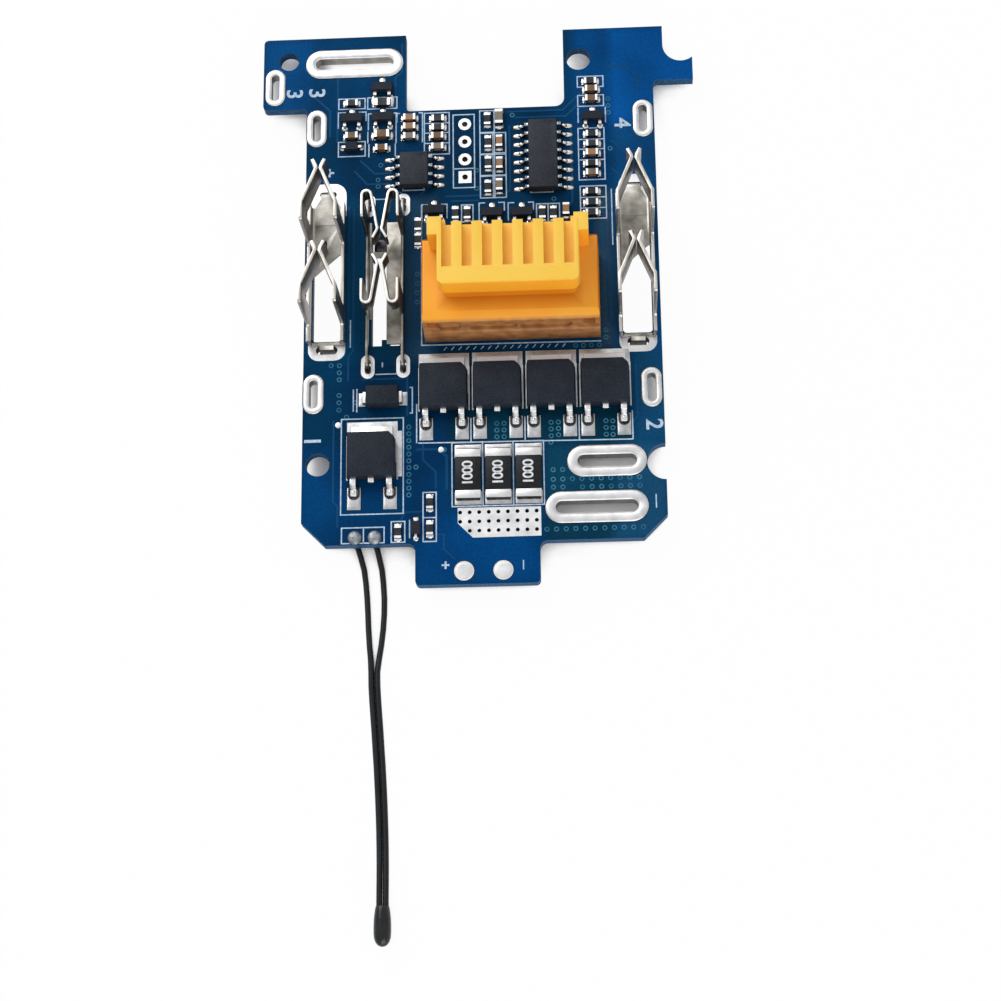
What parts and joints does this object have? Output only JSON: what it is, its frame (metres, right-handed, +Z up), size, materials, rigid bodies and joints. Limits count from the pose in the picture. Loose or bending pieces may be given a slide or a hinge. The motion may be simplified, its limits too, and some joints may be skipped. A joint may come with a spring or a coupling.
{
  "type": "battery management board",
  "caption": "Flat control board for a slide-in tool battery: sprung power clips, a grooved signal socket, power transistors in a row, shunts and a lead-wired thermistor.",
  "frame": {"origin": "under the middle of the board, on the surface its solder tails rest on", "axes": "+X across the board, +Y along it towards the two ears, +Z up through the parts"},
  "size_m": [0.0572, 0.12, 0.0152],
  "materials": {
    "solder_mask_board": "satin solder mask over glass-epoxy",
    "moulded_epoxy": "moulded, matt",
    "tinned_lead_frame": "tin plated",
    "shunt_coating": "printed coating",
    "chip_end_caps": "tin plated",
    "plated_copper": "tinned copper",
    "solder": "reflowed",
    "spring_sheet": "tinned spring bronze",
    "yellow_nylon": "moulded",
    "contact_alloy": "pressed",
    "resistor_glaze": "glazed",
    "capacitor_ceramic": "fired",
    "lead_insulation": "enamelled",
    "bead_epoxy": "dipped"
  },
  "bodies": {
    "root": {"board": "solder_mask_board", "cell_slot_eyelets": "plated_copper", "bus_slot_eyelets": "plated_copper", "clip_eyelets": "plated_copper", "charge_clip_eyelets": "plated_copper", "header_eyelets": "plated_copper", "pin_eyelets": "plated_copper", "lamp_lands": "plated_copper", "tinned_land": "plated_copper", "left_power_clip": "spring_sheet", "right_power_clip": "spring_sheet", "charge_clip": "spring_sheet", "signal_housing": "yellow_nylon", "signal_contacts": "contact_alloy", "fet_body_1": "moulded_epoxy", "fet_body_2": "moulded_epoxy", "fet_body_3": "moulded_epoxy", "fet_body_4": "moulded_epoxy", "fet_body_5": "moulded_epoxy", "fet_leads_1": "tinned_lead_frame", "fet_leads_2": "tinned_lead_frame", "fet_leads_3": "tinned_lead_frame", "fet_leads_4": "tinned_lead_frame", "fet_leads_5": "tinned_lead_frame", "shunt_body_1": "shunt_coating", "shunt_body_2": "shunt_coating", "shunt_body_3": "shunt_coating", "shunt_ends_1": "chip_end_caps", "shunt_ends_2": "chip_end_caps", "shunt_ends_3": "chip_end_caps", "diode_body": "moulded_epoxy", "diode_ends": "tinned_lead_frame", "balance_chip_body": "moulded_epoxy", "balance_chip_leads": "tinned_lead_frame", "sense_chip_body": "moulded_epoxy", "sense_chip_leads": "tinned_lead_frame", "small_transistor_bodies": "moulded_epoxy", "small_transistor_leads": "tinned_lead_frame", "resistor_bodies": "resistor_glaze", "resistor_ends": "chip_end_caps", "capacitor_bodies": "capacitor_ceramic", "capacitor_ends": "chip_end_caps", "power_lands": "plated_copper", "chip_lands": "plated_copper", "tail_joints": "solder", "ntc_joints": "solder", "ntc_lead_left": "lead_insulation", "ntc_lead_right": "lead_insulation", "ntc_bead": "bead_epoxy"}
  },
  "joints": []
}
